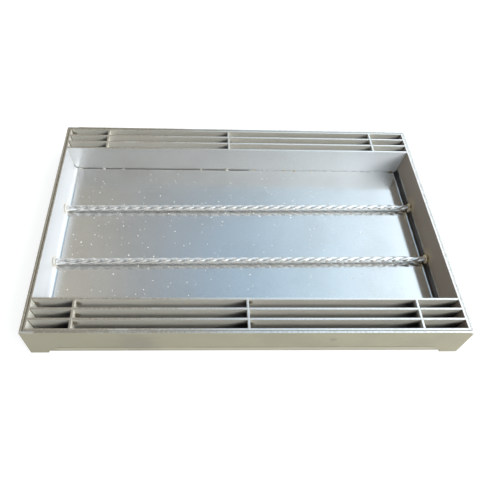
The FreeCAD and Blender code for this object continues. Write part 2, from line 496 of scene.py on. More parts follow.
@dataclass(frozen=True)
class FrameSteel(Steel):
    """The frame's sheet: painted shade to the left, a painted reflection and shade at the bend, stained,
    flush at its corners, painted light at the right gap.
    """

    # Painted shade: the sides of the rails are darker towards the left.
    dim_share: float = 0.9
    dim_shade: float = 0.72
    dim_run: Step = (0.24, -0.28)
    marks_end: Step = (0.268, 0.256)
    # Painted reflection and shade of the bend: a pale stripe above it, a broken dark line over it, and a
    # dark lower edge.
    band: Coat = Coat((0.62, 0.60, 0.47, 1.0))
    band_z: Step = (0.0085, 0.0165)
    band_blur: float = 0.001
    band_run: Step = (-0.2, 0.2)
    band_shares: Step = (0.30, 0.50)
    # The dark colour of the painted reflection line over the bend and of the painted shade on the lower
    # edge.
    line: Coat = Coat((0.17, 0.155, 0.10, 1.0))
    line_width: float = 0.0017
    line_breaks: float = 0.03
    line_noise: Step = (0.30, 0.60)
    line_shares: Step = (0.35, 0.85)
    edge_blur: float = 0.003
    edge_run: Step = (-0.1, 0.15)
    edge_shares: Step = (0.20, 0.80)
    stain: Coat = Coat((0.20, 0.185, 0.15, 1.0), share=0.45)
    stains: tuple[tuple[float, float, float, float], ...] = ()
    stain_grain: Grain = (0.02, 0.02, 0.008)
    stain_waver: Step = (0.4, 1.6)
    flush: Coat = Coat(GROUND_AND_PAINTED_LIGHT, share=0.9, roughness=0.35)
    flush_x: Step = (0.280, 0.282)
    flush_y: Step = (0.1965, 0.1975)
    # Painted light: the inner top of the right rail is made pale over the shade of the gap beside the tray.
    lip: Coat = Coat(GROUND_AND_PAINTED_LIGHT, roughness=0.45, metallic=0.2)
    lip_x: Step = (0.2958, 0.2963)
    lip_depth: Step = (0.005, 0.003)

    def mark(self, layer: Layer, spot: Spot) -> None:
        """Adds the painted shade to the left, the painted reflection and shade of the bend, the stains, the
        corner welds, and a painted light on the right rail's inner top edge, over the shade of the gap.

        Args:
            layer: The layers so far.
            spot: The point that is shaded.
        """
        super().mark(layer, spot)
        side = 1.0 - self.top(spot)
        # Painted shade, darker towards the left.
        left_shade = Coat(shaded(self.base, self.dim_shade), self.dim_share)
        layer.cover(spot.x.ramp(*self.dim_run) * side, left_shade)
        self.mark_bend(layer, spot)
        waver = layer.tree.noise(spot.point, self.stain_grain, detail=4.0).between(*self.stain_waver)
        for x, y, z, reach in self.stains:
            near = (spot.distance(Vector((x, y, z))) * waver).ramp(reach, 0.2 * reach)
            layer.cover(near, self.stain)
        flush = abs(spot.x).ramp(*self.flush_x) * abs(spot.y).ramp(*self.flush_y)
        layer.cover(self.top(spot) * flush, self.flush)
        # Painted light over the shaded gap at the right.
        lip = spot.x.ramp(*self.lip_x) * spot.z.ramp(*(RIM - depth for depth in self.lip_depth))
        layer.cover(lip * side, self.lip)

    def mark_bend(self, layer: Layer, spot: Spot) -> None:
        """Adds the painted reflection of the bend, a pale stripe above it with a broken dark line over it,
        and painted shade on the dark lower edge.

        Args:
            layer: The layers so far.
            spot: The point that is shaded.
        """
        low, high = self.band_z
        clear = abs(spot.x).ramp(*self.marks_end)
        # Painted reflection of the bend: the pale stripe, then the dark line; then painted shade on the
        # lower edge.
        band = spot.z.ramp(low, low + self.band_blur) * spot.z.ramp(high, high - self.band_blur) * clear
        layer.cover(band * spot.x.ramp(*self.band_run).between(*self.band_shares), self.band)
        broken = layer.tree.noise(spot.point, (self.line_breaks,) * 3, detail=3.0).ramp(*self.line_noise)
        line = abs(spot.z - high).ramp(self.line_width, 0.2 * self.line_width) * clear
        layer.cover(line * broken.between(*self.line_shares), self.line)
        edge = spot.z.ramp(low, low - self.edge_blur) * clear
        layer.cover(edge * spot.x.ramp(*self.edge_run).between(*self.edge_shares), self.line)


@dataclass(frozen=True, kw_only=True)
class TraySteel(Steel):
    """The tray's sheet: the left wall matt, the right one rough and painted dark brown as shade with a
    near-black painted shade in its fold, tinted at the welds.
    """

    floor_x: float
    floor_y: float
    floor_z: float
    welds: tuple[Place, ...]
    wall_rise: Step = (0.0075, 0.0105)
    # Painted shade: the right wall's dark brown; its roughness and gloss are its own.
    dull: Coat = Coat((0.40, 0.345, 0.29, 1.0), roughness=0.5, metallic=0.2)
    dull_run: Step = (0.0, 0.1)
    matt: Coat = Coat((0.575, 0.59, 0.605, 1.0), roughness=0.45, metallic=0.25)
    matt_rise: Step = (0.0012, 0.0024)
    matt_run: Step = (-0.1, -0.2)
    matt_shade: float = 0.93
    matt_shade_rise: Step = (0.017, 0.045)
    clear_roughness: float = 0.11
    clear_run: Step = (0.225, 0.262)
    flap: Coat = Coat((0.60, 0.59, 0.535, 1.0), roughness=0.45, metallic=0.2)
    flap_blur: float = 0.001
    # Painted shade in the gap between the floor and the back bar, darker towards the left.
    dirt: Coat = Coat((0.07, 0.065, 0.055, 1.0), share=0.9, roughness=0.6, metallic=0.3)
    dirt_width: Step = (0.0016, 0.0004)
    dirt_run: Step = (0.16, -0.02)
    dirt_end: float = 0.004
    straw: Coat = Coat((0.66, 0.55, 0.36, 1.0), share=0.6)
    straw_reach: float = 0.022
    char: Coat = Coat((0.05, 0.04, 0.03, 1.0), roughness=0.40)
    char_reach: float = 0.0085
    tint_grain: Grain = (0.005, 0.005, 0.012)
    tint_waver: Step = (0.6, 1.4)
    cool_share: float = 0.22
    # Painted shade, near black, in the fold at the foot of the right wall.
    scale: Coat = Coat((0.022, 0.02, 0.022, 1.0), share=0.96, roughness=0.32)
    scale_grain: Grain = (0.004, 0.014, 0.004)
    scale_waver: float = 0.002
    scale_x: Step = (0.0030, 0.0042)
    scale_rise: Step = (0.0110, 0.0065)

    def mark(self, layer: Layer, spot: Spot) -> None:
        """Adds the finishes of walls and floor, then the heat tint, then a near-black painted shade in the
        right fold.

        Args:
            layer: The layers so far.
            spot: The point that is shaded.
        """
        rise = spot.z - self.floor_z
        self.mark_walls(layer, spot, rise)
        super().mark(layer, spot)
        self.mark_heat(layer, spot)
        # Painted shade, near black, in the right fold.
        rough = layer.tree.noise(spot.point, self.scale_grain, detail=3.0) * self.scale_waver
        foot = (spot.x - self.floor_x + rough).ramp(*self.scale_x) * (rise + rough).ramp(*self.scale_rise)
        layer.cover(foot, self.scale)

    def mark_walls(self, layer: Layer, spot: Spot, rise: Signal) -> None:
        """Adds the right wall, rough and painted dark as shade, the matt left one with painted shade
        towards its top and its flaps, the clear floor, and painted shade in the gap at the back.

        Args:
            layer: The layers so far.
            spot: The point that is shaded.
            rise: How far the point lies above the floor.
        """
        wall = rise.ramp(*self.wall_rise)
        right = spot.x.ramp(*self.dull_run)
        # Painted shade: the right wall is dark brown.
        layer.cover(wall * right, self.dull)
        matt = rise.ramp(*self.matt_rise) * spot.x.ramp(*self.matt_run)
        layer.cover(matt, self.matt)
        # Painted shade: the left wall is darker towards its top.
        upper = Coat(shaded(self.matt.colour, self.matt_shade))
        layer.cover(matt * rise.ramp(*self.matt_shade_rise), upper)
        clear = (1.0 - wall) * spot.x.ramp(*self.clear_run)
        layer.cover(clear, Coat(self.base, roughness=self.clear_roughness))
        flap = wall * abs(spot.y).ramp(self.floor_y, self.floor_y + self.flap_blur)
        layer.cover(flap * (1.0 - right), self.flap)
        # Painted shade along the gap at the back of the floor.
        gap = spot.y.ramp(*(self.floor_y - width for width in self.dirt_width)) * (1.0 - wall)
        gap = gap * abs(spot.x).ramp(self.floor_x, self.floor_x - self.dirt_end)
        layer.cover(gap * spot.x.ramp(*self.dirt_run), self.dirt)

    def mark_heat(self, layer: Layer, spot: Spot) -> None:
        """Adds the straw and black rings round the welds, faint at the left.

        Args:
            layer: The layers so far.
            spot: The point that is shaded.
        """
        waver = layer.tree.noise(spot.point, self.tint_grain, detail=3.0).between(*self.tint_waver)
        for place in self.welds:
            share = 1.0 if place[0] > 0.0 else self.cool_share
            reach = spot.distance(Vector(place)) * waver
            layer.cover(reach.ramp(self.straw_reach, self.char_reach) * share, self.straw)
            layer.cover(reach.ramp(self.char_reach, 0.5 * self.char_reach) * share, self.char)


@dataclass(frozen=True, kw_only=True)
class BarSteel(Steel):
    """Flat bar: painted shadows and shade in the slots, with brown spots where it is tacked."""

    tacks: tuple[Place, ...]
    stops: tuple[float, ...]
    slots_from: float
    bar_depth: float
    wall_top: float
    wall_lean: float
    base: Colour = (0.68, 0.655, 0.585, 1.0)
    smudge: Coat = Coat((0.63, 0.605, 0.54, 1.0), roughness=0.52)
    metallic: float = 0.22
    roughness: float = 0.48
    burnt: Coat = Coat(BURNT_BROWN, share=0.8, roughness=0.5)
    burnt_reach: float = 0.0075
    burnt_grain: float = 0.006
    burnt_waver: Step = (0.5, 1.5)
    joint: Coat = Coat(BURNT_BROWN, share=0.8)
    joint_width: Step = (0.0022, 0.00088)
    # Painted shadow of each cross bar on its left, and painted shade low in the slots.
    wedge: Coat = Coat(SLOT_SHADE, share=0.92)
    wedge_reach: float = 0.075
    wedge_least: float = 0.02
    wedge_run: Step = (1.3, 0.25)
    wedge_stop: float = 0.0002
    wedge_depth: Step = (0.05, 0.32)
    grime: Coat = Coat(SLOT_SHADE, share=0.45)
    grime_depth: Step = (0.26, 0.46)
    slots_blur: float = 0.001

    def mark(self, layer: Layer, spot: Spot) -> None:
        """Adds the painted shadows and shade of the slots, the dark joints at the end walls and the brown
        haze of the tacks.

        Args:
            layer: The layers so far.
            spot: The point that is shaded.
        """
        super().mark(layer, spot)
        self.mark_grime(layer, spot)
        wall = self.wall_top - (RIM - spot.z) * math.tan(self.wall_lean)
        joint = (wall - abs(spot.x)).ramp(*self.joint_width)
        layer.cover(joint * (1.0 - self.top(spot)), self.joint)
        waver = layer.tree.noise(spot.point, (self.burnt_grain,) * 3, detail=3.0)
        for place in self.tacks:
            reach = spot.distance(Vector(place)) * waver.between(*self.burnt_waver)
            layer.cover(reach.ramp(self.burnt_reach, 0.25 * self.burnt_reach), self.burnt)

    def mark_grime(self, layer: Layer, spot: Spot) -> None:
        """Adds a painted shadow, a dark three-cornered patch on the left of each stop which widens
        downwards, and painted shade low in the slots all along.

        Args:
            layer: The layers so far.
            spot: The point that is shaded.
        """
        depth = (RIM - spot.z) / self.bar_depth
        slots = abs(spot.y).ramp(self.slots_from, self.slots_from + self.slots_blur)
        for stop in self.stops:
            gap = stop - spot.x
            near = (gap / (depth.most(self.wedge_least) * self.wedge_reach)).ramp(*self.wedge_run)
            near = near * gap.ramp(-self.wedge_stop, 0.0)
            layer.cover(near * depth.ramp(*self.wedge_depth) * slots, self.wedge)
        layer.cover(depth.ramp(*self.grime_depth) * slots, self.grime)


@dataclass(frozen=True)
class BrightBarSteel(Steel):
    """The bar that closes the tray at the back: bright, and matt towards its right end, where its pale
    bluish colour is a painted reflection.
    """

    metallic: float = 0.85
    roughness: float = 0.31
    smudge: Coat = Coat((0.76, 0.755, 0.74, 1.0), roughness=0.32)
    grain_depth: float = 0.0
    grain_haze: float = 0.0
    # Painted reflection: a pale bluish matt colour on the right end.
    matt: Coat = Coat((0.90, 0.94, 0.97, 1.0), roughness=0.4, metallic=0.1)
    matt_run: Step = (0.17, 0.26)

    def mark(self, layer: Layer, spot: Spot) -> None:
        """Adds the matt end, whose pale bluish colour is a painted reflection.

        Args:
            layer: The layers so far.
            spot: The point that is shaded.
        """
        layer.cover(spot.x.ramp(*self.matt_run), self.matt)
        super().mark(layer, spot)


@dataclass(frozen=True)
class WeldMetal(Finish):
    """Weld metal: bright silver that turns straw and brown in patches, more so to the right."""

    silver: Colour = (0.86, 0.84, 0.80, 1.0)
    roughness: float = 0.28
    metallic: float = 0.8
    straw: Coat = Coat((0.66, 0.52, 0.30, 1.0), roughness=0.36)
    straw_noise: Step = (0.38, 0.55)
    brown: Coat = Coat((0.28, 0.20, 0.10, 1.0), roughness=0.50)
    brown_noise: Step = (0.52, 0.66)
    tint_size: float = 0.004
    warm_run: Step = (-0.15, 0.15)
    warm_shares: Step = (0.15, 1.0)
    skin_size: float = 0.0008
    skin_depth: float = 0.00012

    def surface(self, tree: Tree) -> Signal:
        """Lays the tints on the bare weld.

        Args:
            tree: The material's tree.

        Returns:
            The shader.
        """
        spot = Spot.of(tree)
        tint = tree.noise(spot.point, (self.tint_size,) * 3, detail=4.0)
        warm = spot.x.ramp(*self.warm_run).between(*self.warm_shares)
        layer = Layer(tree, self.silver, self.roughness, self.metallic)
        layer.height = tree.noise(spot.point, (self.skin_size,) * 3, detail=3.0) * self.skin_depth
        layer.cover(tint.ramp(*self.straw_noise) * warm, self.straw)
        layer.cover(tint.ramp(*self.brown_noise) * warm, self.brown)
        return layer.shader()


@dataclass(frozen=True)
class GrindingDust(Finish):
    """Pale grinding dust, a little different from speck to speck; also the pale filler that paints one
    shaded gap as lit.
    """

    pale: Colour = (0.92, 0.92, 0.90, 1.0)
    grey: Colour = (0.55, 0.55, 0.54, 1.0)
    roughness: float = 0.7
    speck_spacing: float = 0.006
    speck_noise: Step = (0.5, 0.7)

    def surface(self, tree: Tree) -> Signal:
        """Feeds the specks' shades to a matt shader.

        Args:
            tree: The material's tree.

        Returns:
            The shader.
        """
        spot = Spot.of(tree)
        shade = tree.noise(spot.point, (self.speck_spacing,) * 3).ramp(*self.speck_noise)
        colour = tree.blend(shade, self.pale, self.grey)
        return tree.signal(
            "ShaderNodeBsdfPrincipled", inputs={"Base Color": colour, "Roughness": self.roughness}
        )


@dataclass(frozen=True)
class StudioWhite(Finish):
    """The pale floor: matt, and lifted to white where it is looked at or mirrored."""

    albedo: Colour = (0.32, 0.32, 0.32, 1.0)
    lift: float = 0.84

    def surface(self, tree: Tree) -> Signal:
        """Adds the lift to the matt floor for the rays that see it.

        Args:
            tree: The material's tree.

        Returns:
            The shader.
        """
        matt = tree.signal("ShaderNodeBsdfDiffuse", inputs={"Color": self.albedo})
        path = tree.node("ShaderNodeLightPath")
        seen = Signal(tree, path.outputs["Is Camera Ray"])
        seen = seen.most(Signal(tree, path.outputs["Is Glossy Ray"]))
        seen = seen.most(Signal(tree, path.outputs["Is Transmission Ray"]))
        glow = tree.signal("ShaderNodeEmission", inputs={"Strength": self.lift})
        lifted = tree.signal("ShaderNodeAddShader", inputs={0: matt, 1: glow})
        return tree.signal("ShaderNodeMixShader", inputs={0: seen, 1: matt, 2: lifted})


class NodeShape:
    """A Geometry Nodes tree with named inputs, which is turned into a plain mesh."""

    def __init__(self, name: str) -> None:
        """Starts an empty tree with its carrier and its material as inputs.

        Args:
            name: What the tree shapes.
        """
        self.group = bpy.data.node_groups.new(name, "GeometryNodeTree")
        self.tree = Tree(self.group)
        self.entry: Optional[bpy.types.Node] = None
        self.keys: dict[str, str] = {}
        self.group.interface.new_socket("Geometry", in_out="OUTPUT", socket_type="NodeSocketGeometry")
        self.carrier = self.take("Carrier", "NodeSocketGeometry")
        self.steel = self.take("Steel", "NodeSocketMaterial")

    def take(self, name: str, kind: str) -> Signal:
        """Adds a named input.

        Args:
            name: The input's name.
            kind: The type of its socket.

        Returns:
            The input inside the tree.
        """
        socket = self.group.interface.new_socket(name, in_out="INPUT", socket_type=kind)
        self.keys[name] = socket.identifier
        if self.entry is None:
            self.entry = self.tree.node("NodeGroupInput")
        return Signal(self.tree, self.entry.outputs[name])

    def length(self, name: str) -> Signal:
        """Adds a named input for a size or another plain number."""
        return self.take(name, "NodeSocketFloat")

    def give(self, shape: Signal) -> None:
        """Ends the tree: instances made real, smooth shading and the material.

        Args:
            shape: The finished geometry.
        """
        real = self.tree.signal("GeometryNodeRealizeInstances", inputs={"Geometry": shape})
        smooth = self.tree.signal("GeometryNodeSetShadeSmooth", inputs={0: real})
        dressed = self.tree.signal(
            "GeometryNodeSetMaterial", inputs={"Geometry": smooth, "Material": self.steel}
        )
        self.tree.node("NodeGroupOutput", inputs={"Geometry": dressed})

    def lumped(self, shape: Signal) -> Signal:
        """Makes a surface lumpy, with the size and height of its lumps as inputs.

        Args:
            shape: The geometry, with its instances made real.

        Returns:
            The lumpy geometry.
        """
        tree = self.tree
        size = self.length("Lump size")
        height = self.length("Lump height")
        place = tree.signal("GeometryNodeInputPosition")
        normal = tree.signal("GeometryNodeInputNormal")
        lump = tree.signal(
            "ShaderNodeTexNoise", inputs={"Vector": place, "Scale": 1.0 / size, "Detail": 2.0}
        )
        move = tree.signal(
            "ShaderNodeVectorMath",
            {"operation": "SCALE"},
            {0: normal, "Scale": (lump - 0.5) * 2.0 * height},
        )
        return tree.signal("GeometryNodeSetPosition", inputs={"Geometry": shape, "Offset": move})

    def mesh(self, name: str, carrier: bpy.types.Mesh, values: Mapping[str, Any]) -> bpy.types.Object:
        """Runs the tree on a carrier and keeps the result as a plain mesh.

        Args:
            name: The piece's name.
            carrier: The mesh that the tree starts from.
            values: What each named input is set to.

        Returns:
            The piece, with no modifier left on it.
        """
        piece = placed(name, carrier)
        modifier = piece.modifiers.new(self.group.name, "NODES")
        modifier.node_group = self.group
        for key, value in values.items():
            modifier[self.keys[key]] = value
        return worked_in(piece)


def shaded(colour: Colour, share: float) -> Colour:
    """A colour with only a share of its brightness."""
    return (colour[0] * share, colour[1] * share, colour[2] * share, colour[3])


def placed(name: str, mesh: bpy.types.Mesh) -> bpy.types.Object:
    """A new object in the scene, at the origin.

    Args:
        name: The object's name.
        mesh: Its mesh.

    Returns:
        The object.
    """
    made = bpy.data.objects.new(name, mesh)
    bpy.context.scene.collection.objects.link(made)
    return made


def worked_in(piece: bpy.types.Object) -> bpy.types.Object:
    """Turns a piece into the plain mesh that its modifiers make of it.

    Args:
        piece: An object in the scene.

    Returns:
        The same object, with no modifier left on it.
    """
    graph = bpy.context.evaluated_depsgraph_get()
    graph.update()
    piece.data = bpy.data.meshes.new_from_object(piece.evaluated_get(graph), depsgraph=graph)
    piece.modifiers.clear()
    return piece


def points_mesh(name: str, points: Iterable[Vector]) -> bpy.types.Mesh:
    """A mesh of loose points.

    Args:
        name: The mesh's name.
        points: Their places.

    Returns:
        The mesh.
    """
    made = bpy.data.meshes.new(name)
    made.from_pydata([tuple(point) for point in points], [], [])
    return made


def islands(node: str) -> list[tuple[Vector, Vector]]:
    """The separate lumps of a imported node.

    Args:
        node: The node's name.

    Returns:
        Lowest and highest corner of each lump, from left to right.
    """
    shell = bmesh.new()
    shell.from_mesh(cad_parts[node].data)
    bmesh.ops.remove_doubles(shell, verts=shell.verts, dist=1e-6)
    left = set(shell.verts)
    boxes = []
    while left:
        found = {left.pop()}
        edge = set(found)
        while edge:
            edge = {e.other_vert(v) for v in edge for e in v.link_edges} - found
            found |= edge
        left -= found
        low = Vector(min(v.co[axis] for v in found) for axis in range(3))
        high = Vector(max(v.co[axis] for v in found) for axis in range(3))
        boxes.append((low, high))
    shell.free()
    return sorted(boxes, key=lambda box: tuple(box[0]))


def settle(piece: bpy.types.Object, slot: Slot, *nodes: str) -> bpy.types.Object:
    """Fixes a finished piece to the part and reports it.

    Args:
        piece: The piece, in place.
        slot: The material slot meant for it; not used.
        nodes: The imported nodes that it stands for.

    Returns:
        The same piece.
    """
    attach(piece, BODY)
    if nodes:
        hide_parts(*nodes)
    LOG.info("%s: %d faces", piece.name, len(piece.data.polygons))
    return piece


@dataclass(frozen=True)
class EdgeBreak:
    """How the sheared edges of a piece are softened."""

    width: float = 0.00035
    segments: int = 2
    merge: float = 1e-6
    flat: float = math.radians(0.5)
    sharp: float = math.radians(35.0)
    crease: float = math.radians(50.0)

    def softened(self, name: str, mesh: bpy.types.Mesh) -> bpy.types.Object:
        """Makes a piece of a mesh, with its sharp edges rounded and its flat faces flat in shading.

        Args:
            name: The piece's name.
            mesh: The mesh, which stays as it is.

        Returns:
            The piece.
        """
        shell = bmesh.new()
        shell.from_mesh(mesh)
        bmesh.ops.remove_doubles(shell, verts=shell.verts, dist=self.merge)
        bmesh.ops.dissolve_limit(shell, angle_limit=self.flat, verts=shell.verts, edges=shell.edges)
        sheared = [e for e in shell.edges if e.is_manifold and e.calc_face_angle() > self.sharp]
        bmesh.ops.bevel(
            shell,
            geom=sheared,
            offset=self.width,
            segments=self.segments,
            profile=0.5,
            affect="EDGES",
            clamp_overlap=True,
        )
        made = bpy.data.meshes.new(name)
        shell.to_mesh(made)
        shell.free()
        made.shade_smooth()
        made.set_sharp_from_angle(angle=self.crease)
        piece = placed(name, made)
        weighted = piece.modifiers.new("flat_faces", "WEIGHTED_NORMAL")
        weighted.weight = 100
        weighted.keep_sharp = True
        return worked_in(piece)

    def dress(self, node: str, mesh: bpy.types.Mesh, finish: Finish, slot: Slot) -> bpy.types.Object:
        """Softens a mesh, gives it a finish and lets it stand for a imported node.

        Args:
            node: The node's name.
            mesh: The mesh, in the node's place.
            finish: Its finish.
            slot: Its material slot.

        Returns:
            The dressed piece.
        """
        piece = self.softened(f"{node}_dressed", mesh)
        piece.data.materials.clear()
        piece.data.materials.append(finish.material())
        return settle(piece, slot, node)


class FoldedSheet:
    """A folded sheet: strips of its visible skin, laid edge to edge, then given their thickness behind."""

    def __init__(self, turn: float = 0.0) -> None:
        """Starts an empty sheet.

        Args:
            turn: How far the finished sheet is turned about Z.
        """
        self.skin = bmesh.new()
        self.turn = Matrix.Rotation(turn, 4, "Z")

    def strip(self, section: Sequence[Vector], shifts: Sequence[Vector]) -> None:
        """Lays skin between copies of a section; it faces along section direction cross shift direction.

        Args:
            section: The section's points, in order.
            shifts: How far each copy is moved.
        """
        rows = [[self.skin.verts.new(point + shift) for point in section] for shift in shifts]
        for row, following in zip(rows, rows[1:]):
            for n in range(len(section) - 1):
                self.skin.faces.new((row[n], row[n + 1], following[n + 1], following[n]))

    def mesh(self, name: str, thickness: float, merge: float = 1e-6) -> bpy.types.Mesh:
        """Closes the sheet.

        Args:
            name: The mesh's name.
            thickness: How thick it is.
            merge: How near points of neighbouring strips lie to become one.

        Returns:
            The sheet's mesh.
        """
        bmesh.ops.remove_doubles(self.skin, verts=self.skin.verts, dist=merge)
        bmesh.ops.transform(self.skin, matrix=self.turn, verts=self.skin.verts)
        made = bpy.data.meshes.new(name)
        self.skin.to_mesh(made)
        self.skin.free()
        carrier = placed(name, made)
        solid = carrier.modifiers.new("thickness", "SOLIDIFY")
        solid.thickness = thickness
        solid.offset = -1.0
        solid.use_even_offset = True
        closed = worked_in(carrier).data
        bpy.data.objects.remove(carrier)
        return closed


def fold_turns(angle: float, steps: int) -> list[float]:
    """Even turns through a fold, from 0 to its whole angle."""
    return [angle * step / steps for step in range(steps + 1)]


@dataclass
class FoldedFrame:
    """The four rails folded from sheet, with a corner foot at each end of the long ones."""

    sheet: float = 0.003
    bend_radius: float = 0.004
    ledge: float = 0.025
    foot: float = 0.025
    relief: float = 0.0015
    fold_steps: int = 10
    edges: EdgeBreak = EdgeBreak(width=0.0004)
    steel: FrameSteel = FrameSteel(
        name="frame_sheet_steel",
        base=(0.420, 0.394, 0.274, 1.0),
        smudge=Coat((0.374, 0.355, 0.254, 1.0), roughness=0.45),
        metallic=0.55,
        roughness=0.40,
        stains=((-0.150, -0.200, 0.030, 0.040), (0.113, -0.200, 0.040, 0.007)),
    )

    def lower_section(self, reach: float) -> list[Vector]:
        """A rail's bend and ledge, outside, with the upright towards -Y.

        Args:
            reach: From the part's middle to the upright's outer face.

        Returns:
            The section's points, from the upright down to the ledge's lip.
        """
        ledge_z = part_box("frame_left_rail")[0].z
        centre_y = self.bend_radius - reach
        centre_z = ledge_z + self.bend_radius
        points = []
        for turn in fold_turns(math.pi / 2.0, self.fold_steps):
            y = centre_y - self.bend_radius * math.cos(turn)
            points.append(Vector((0.0, y, centre_z - self.bend_radius * math.sin(turn))))
        return points + [Vector((0.0, self.ledge - reach, ledge_z))]

    def long_rail(self, turn: float) -> FoldedSheet:
        """A long rail, whose upright runs down at both ends as flat feet.

        Args:
            turn: How far the rail is turned about Z.

        Returns:
            Its sheet.
        """
        low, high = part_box("frame_front_rail")
        lower = self.lower_section(-low.y)
        rim = Vector((0.0, low.y, high.z))
        ground = Vector((0.0, low.y, low.z))
        foot = high.x - self.foot
        ledge = foot - self.relief
        stations = [Vector((x, 0.0, 0.0)) for x in (-high.x, -foot, -ledge, ledge, foot, high.x)]
        sheet = FoldedSheet(turn)
        sheet.strip([rim, lower[0]], stations)
        sheet.strip(lower, stations[2:4])
        sheet.strip([lower[0], ground], stations[:2])
        sheet.strip([lower[0], ground], stations[4:])
        return sheet

    def side_rail(self, turn: float) -> FoldedSheet:
        """A side rail, which fits between the long ones.

        Args:
            turn: How far the rail is turned about Z from facing -Y.

        Returns:
            Its sheet.
        """
        low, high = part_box("frame_left_rail")
        lower = self.lower_section(-low.x)
        rim = Vector((0.0, low.x, high.z))
        sheet = FoldedSheet(turn)
        sheet.strip([rim] + lower, [Vector((x, 0.0, 0.0)) for x in (low.y, high.y)])
        return sheet

    def build(self) -> None:
        """Folds and dresses each rail."""
        quarter = math.pi / 2.0
        rails = {
            "frame_front_rail": self.long_rail(0.0),
            "frame_right_rail": self.side_rail(quarter),
            "frame_back_rail": self.long_rail(2.0 * quarter),
            "frame_left_rail": self.side_rail(-quarter),
        }
        for node, sheet in rails.items():
            self.edges.dress(node, sheet.mesh(f"{node}_sheet", self.sheet), self.steel, Slot.SHEET)


@dataclass
class InfillTray:
    """The folded tray: one sheet with the floor, two folds and two end walls that lean out."""

    sheet: float = 0.003
    fold_radius: float = 0.008
    lean: float = math.radians(6.0)
    floor_gap: float = 0.001
    fold_steps: int = 20
    edges: EdgeBreak = EdgeBreak()

    @property
    def floor_z(self) -> float:
        """Height of the floor's upper face."""
        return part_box("tray_sheet")[0].z + self.sheet

    @property
    def floor_y(self) -> float:
        """From the middle to the floor's long edges."""
        return -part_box("tray_front_bar")[1].y - self.floor_gap

    @property
    def floor_x(self) -> float:
        """From the middle to the ends of the flat floor."""
        fold_top = self.floor_z + self.fold_radius * (1.0 - math.sin(self.lean))
        return self.wall_x(fold_top) - self.fold_radius * math.cos(self.lean)

    def wall_x(self, z: float) -> float:
        """From the middle to the inner face of an end wall, at a height."""
        _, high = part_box("tray_sheet")
        return high.x - self.sheet / math.cos(self.lean) - (high.z - z) * math.tan(self.lean)

    def folded(self) -> FoldedSheet:
        """Lays the floor with its folds, then the walls, which run on past the floor as flaps.

        Returns:
            The sheet.
        """
        _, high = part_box("tray_sheet")
        centre_z = self.floor_z + self.fold_radius
        right = []
        for turn in fold_turns(math.pi / 2.0 - self.lean, self.fold_steps):
            x = self.floor_x + self.fold_radius * math.sin(turn)
            right.append(Vector((x, 0.0, centre_z - self.fold_radius * math.cos(turn))))
        wall = [Vector((self.wall_x(z), 0.0, z)) for z in (centre_z, high.z)]
        right.append(wall[0])
        stations = [Vector((0.0, y, 0.0)) for y in (-high.y, -self.floor_y, self.floor_y, high.y)]
        sheet = FoldedSheet()
        sheet.strip(self.mirrored(right) + right, stations[1:3])
        sheet.strip(wall, stations)
        sheet.strip(self.mirrored(wall), stations)
        return sheet

    @staticmethod
    def mirrored(section: Sequence[Vector]) -> list[Vector]:
        """A section's other half, from the left rim inwards."""
        return [Vector((-point.x, point.y, point.z)) for point in reversed(section)]

    def build(self, welds: Sequence[Vector]) -> None:
        """Folds and dresses the tray.

        Args:
            welds: Where the twisted bars are welded to its walls.
        """
        steel = TraySteel(
            name="tray_sheet_steel",
            floor_x=self.floor_x,
            floor_y=self.floor_y,
            floor_z=self.floor_z,
            welds=tuple(tuple(place) for place in welds),
        )
        self.edges.dress("tray_sheet", self.folded().mesh("tray_folded", self.sheet), steel, Slot.SHEET)


@dataclass
class SlottedGrate:
    """One grate: long flat bars, half-lapped with three cross bars and closed by a deep bar at the tray."""

    side: Side
    tray: InfillTray
    tacked: Sequence[tuple[int, int, float]]
    tack_gap: float = 0.0016
    tack_rise: float = 0.0006
    slot_margin: float = 0.002
    wall_stop_z: float = 0.040
    edges: EdgeBreak = EdgeBreak()
    cross_words: tuple[str, ...] = ("left", "centre", "right")
    tacks: list[Vector] = field(default_factory=list)

    @property
    def long_bars(self) -> list[str]:
        """The long bars' nodes, from the frame inwards."""
        word = self.side.word
        return [f"{word}_outer_bar", f"{word}_middle_bar_1", f"{word}_middle_bar_2", f"tray_{word}_bar"]

    @property
    def cross_bars(self) -> list[str]:
        """The cross bars' nodes, from left to right."""
        return [f"{self.side.word}_cross_bar_{word}" for word in self.cross_words]

    def place_tacks(self) -> None:
        """Puts the tacks on the bars, each beside what stands on the left of its cell."""
        bars = self.facing_bars()
        for cell, row, height in self.tacked:
            stop = -self.tray.wall_x(height) if cell == 0 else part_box(self.cross_bars[cell - 1])[1].x
            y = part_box(bars[row])[0].y - self.tack_rise
            self.tacks.append(Vector((stop + self.tack_gap, y, height)))

    def facing_bars(self) -> list[str]:
        """The bars whose near faces look into a slot."""
        return self.long_bars[1:] if self.side is Side.FRONT else self.long_bars[:3]

    def steel(self) -> BarSteel:
        """The bars' finish, fitted to where the tacks, the cross bars and the end walls are.

        Returns:
            The finish.
        """
        low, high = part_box(self.long_bars[0])
        cells_end = [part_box(bar)[0].x for bar in self.cross_bars] + [self.tray.wall_x(self.wall_stop_z)]
        return BarSteel(
            name=f"{self.side.word}_bar_steel",
            tacks=tuple(tuple(place) for place in self.tacks),
            stops=tuple(cells_end),
            slots_from=self.tray.floor_y + self.slot_margin,
            bar_depth=high.z - low.z,
            wall_top=self.tray.wall_x(RIM),
            wall_lean=self.tray.lean,
        )

    def build(self) -> None:
        """Dresses the bars, with a burnt spot round each tack."""
        self.place_tacks()
        steel = self.steel()
        bright = BrightBarSteel(name="bright_bar_steel")
        for bar in self.long_bars + self.cross_bars:
            finish = bright if bar == "tray_back_bar" else steel
            self.edges.dress(bar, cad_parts[bar].data, finish, Slot.BAR)


